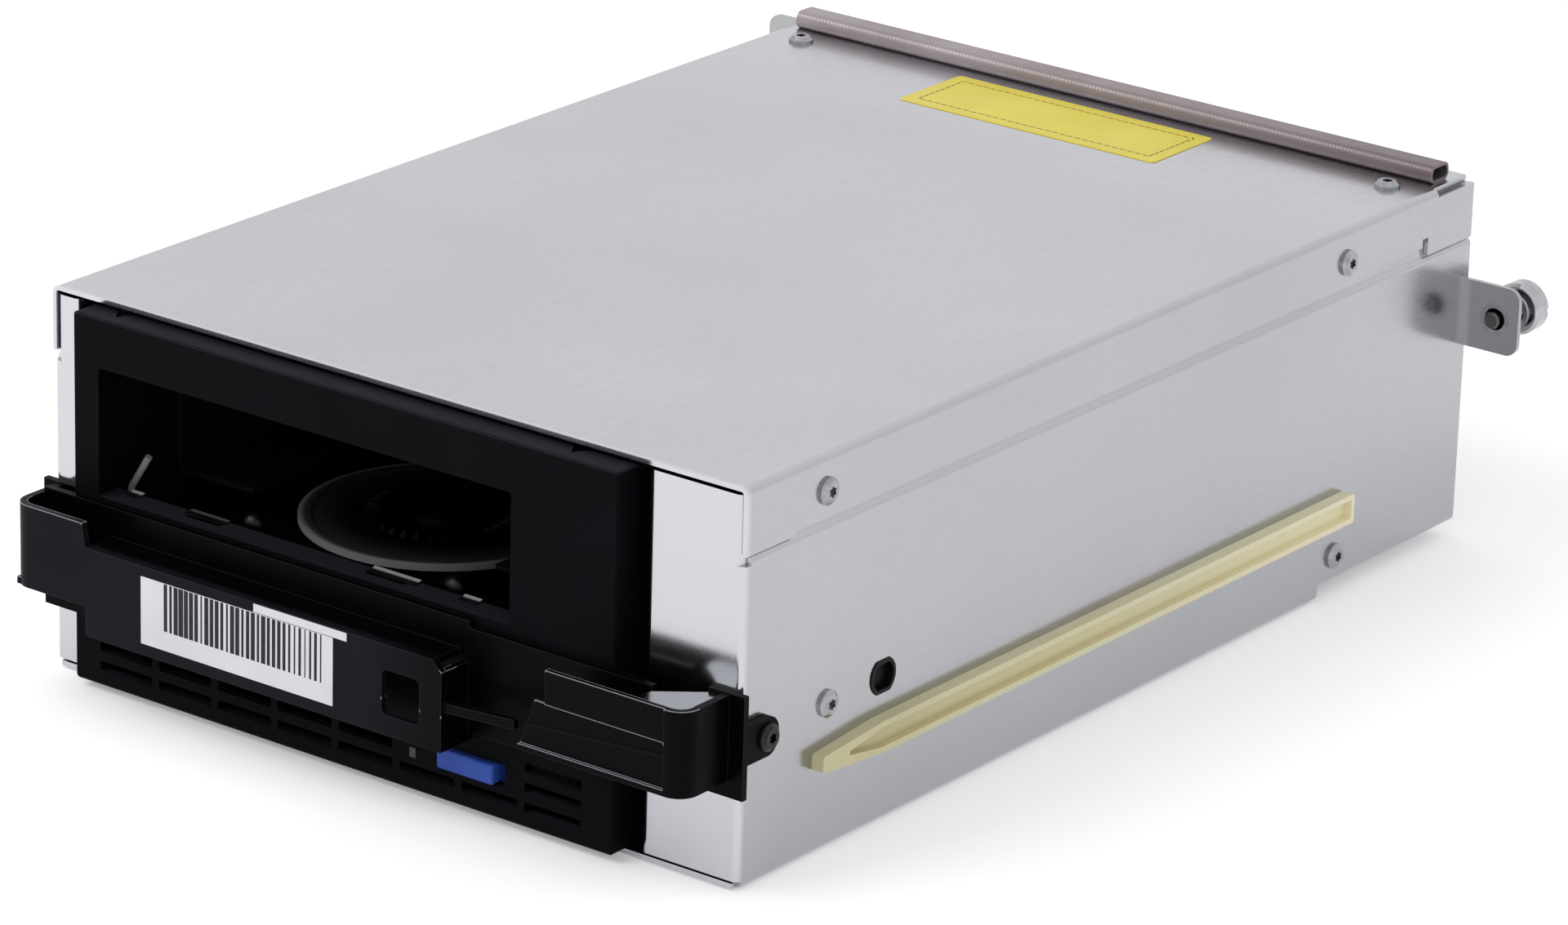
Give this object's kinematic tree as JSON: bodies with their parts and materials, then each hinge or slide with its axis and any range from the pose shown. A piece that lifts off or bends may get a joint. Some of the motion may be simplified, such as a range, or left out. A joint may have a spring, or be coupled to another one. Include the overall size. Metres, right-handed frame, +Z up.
{
  "type": "data tape drive",
  "caption": "Full-height tape drive in a sheet-metal sled, with an open cartridge throat, a moulded cartridge guide in front, side rails, and sprung captive thumbscrews on rear ears.",
  "frame": {"origin": "middle of the sled's flat underside", "axes": "+Z up, front of the drive (throat and button) towards -Y, +X to the right seen from the front"},
  "size_m": [0.216, 0.2992, 0.0912],
  "materials": {
    "zinc_sheet": "satin",
    "bright_steel": "satin",
    "screw_steel": "polished",
    "spring_steel": "satin",
    "knob_metal": "satin",
    "cast_aluminium": "matte",
    "reel_steel": "satin",
    "rail_plastic": "satin",
    "black_plastic": "semi-gloss",
    "bezel_plastic": "matte",
    "button_plastic": "satin",
    "lens_plastic": "gloss",
    "roller_ceramic": "gloss",
    "head_brass": "polished",
    "gasket_fabric": "matte",
    "yellow_label": "satin",
    "white_label": "satin",
    "board_green": "satin"
  },
  "bodies": {
    "sled": {"bay_lever": "bright_steel", "board_screws": "screw_steel", "board_spacers": "screw_steel", "button_spring": "spring_steel", "cartridge_guide": "black_plastic", "chassis_tray": "zinc_sheet", "corner_bracket": "zinc_sheet", "cover_screws": "screw_steel", "cradle_rods": "bright_steel", "data_ports": "bright_steel", "datum_pins": "bright_steel", "deck_plate": "bright_steel", "drive_base": "cast_aluminium", "drive_bezel": "bezel_plastic", "drive_board": "board_green", "drive_lid": "bright_steel", "drive_screws": "screw_steel", "emi_gasket": "gasket_fabric", "fan_frame": "black_plastic", "fan_guard": "bright_steel", "fan_screws": "screw_steel", "guide_label": "white_label", "guide_screws": "screw_steel", "head_actuator": "cast_aluminium", "head_rods": "bright_steel", "interface_board": "board_green", "led_lens": "lens_plastic", "notice_label": "yellow_label", "power_connector": "black_plastic", "rear_panel": "zinc_sheet", "reel_motor": "cast_aluminium", "roller_posts": "bright_steel", "screw_ferrule_left": "screw_steel", "screw_ferrule_right": "screw_steel", "screw_spring_left": "spring_steel", "screw_spring_right": "spring_steel", "side_grommets": "black_plastic", "side_rail_left": "rail_plastic", "side_rail_right": "rail_plastic", "switch_board": "board_green", "take_up_motor": "cast_aluminium", "top_cover": "zinc_sheet", "wall_screws": "screw_steel"},
    "cradle": {"cartridge_cradle": "bright_steel"},
    "reel_disc": {"reel_hub": "reel_steel"},
    "take_up": {"take_up_reel": "black_plastic"},
    "roller_1": {"tape_roller_1": "roller_ceramic"},
    "roller_2": {"tape_roller_2": "roller_ceramic"},
    "roller_3": {"tape_roller_3": "roller_ceramic"},
    "roller_4": {"tape_roller_4": "roller_ceramic"},
    "head": {"head_carriage": "cast_aluminium", "tape_head": "head_brass"},
    "fan": {"fan_rotor": "black_plastic"},
    "float_right": {"screw_collar_right": "screw_steel"},
    "knob_right": {"thumbscrew_right": "knob_metal"},
    "float_left": {"screw_collar_left": "screw_steel"},
    "knob_left": {"thumbscrew_left": "knob_metal"},
    "button": {"eject_button": "button_plastic"}
  },
  "joints": [
    {"name": "cradle_lower", "type": "slide", "parent": "sled", "child": "cradle", "axis": [0, 0, -1], "range_m": [0, 0.003]},
    {"name": "reel_spin", "type": "hinge", "parent": "sled", "child": "reel_disc", "pos_m": [-0.019, -0.094, 0.04], "axis": [0, 0, 1], "continuous": true},
    {"name": "take_up_spin", "type": "hinge", "parent": "sled", "child": "take_up", "pos_m": [-0.022, 0.023, 0.04], "axis": [0, 0, 1], "continuous": true},
    {"name": "roller_1_spin", "type": "hinge", "parent": "sled", "child": "roller_1", "pos_m": [0.026, -0.021, 0.048], "axis": [0, 0, 1], "continuous": true},
    {"name": "roller_2_spin", "type": "hinge", "parent": "sled", "child": "roller_2", "pos_m": [0.041, -0.011, 0.048], "axis": [0, 0, 1], "continuous": true},
    {"name": "roller_3_spin", "type": "hinge", "parent": "sled", "child": "roller_3", "pos_m": [0.041, 0.021, 0.048], "axis": [0, 0, 1], "continuous": true},
    {"name": "roller_4_spin", "type": "hinge", "parent": "sled", "child": "roller_4", "pos_m": [0.026, 0.033, 0.048], "axis": [0, 0, 1], "continuous": true},
    {"name": "head_travel", "type": "slide", "parent": "sled", "child": "head", "axis": [0, 0, 1], "range_m": [-0.003, 0.003]},
    {"name": "fan_spin", "type": "hinge", "parent": "sled", "child": "fan", "pos_m": [0.054, 0.125, 0.046], "axis": [0, 1, 0], "continuous": true},
    {"name": "screw_float_right", "type": "slide", "parent": "sled", "child": "float_right", "axis": [0, -1, 0], "range_m": [0, 0.003], "stiffness_N_per_m": 250, "springref_m": -0.002, "deforming": ["screw_spring_right"]},
    {"name": "screw_turn_right", "type": "hinge", "parent": "float_right", "child": "knob_right", "pos_m": [0.1018, 0.143, 0.0546], "axis": [0, -1, 0], "continuous": true},
    {"name": "screw_float_left", "type": "slide", "parent": "sled", "child": "float_left", "axis": [0, -1, 0], "range_m": [0, 0.003], "stiffness_N_per_m": 250, "springref_m": -0.002, "deforming": ["screw_spring_left"]},
    {"name": "screw_turn_left", "type": "hinge", "parent": "float_left", "child": "knob_left", "pos_m": [-0.1018, 0.143, 0.0768], "axis": [0, -1, 0], "continuous": true},
    {"name": "eject_press", "type": "slide", "parent": "sled", "child": "button", "axis": [0, 1, 0], "range_m": [0, 0.0015], "stiffness_N_per_m": 500, "springref_m": -0.001, "deforming": ["button_spring"]}
  ]
}
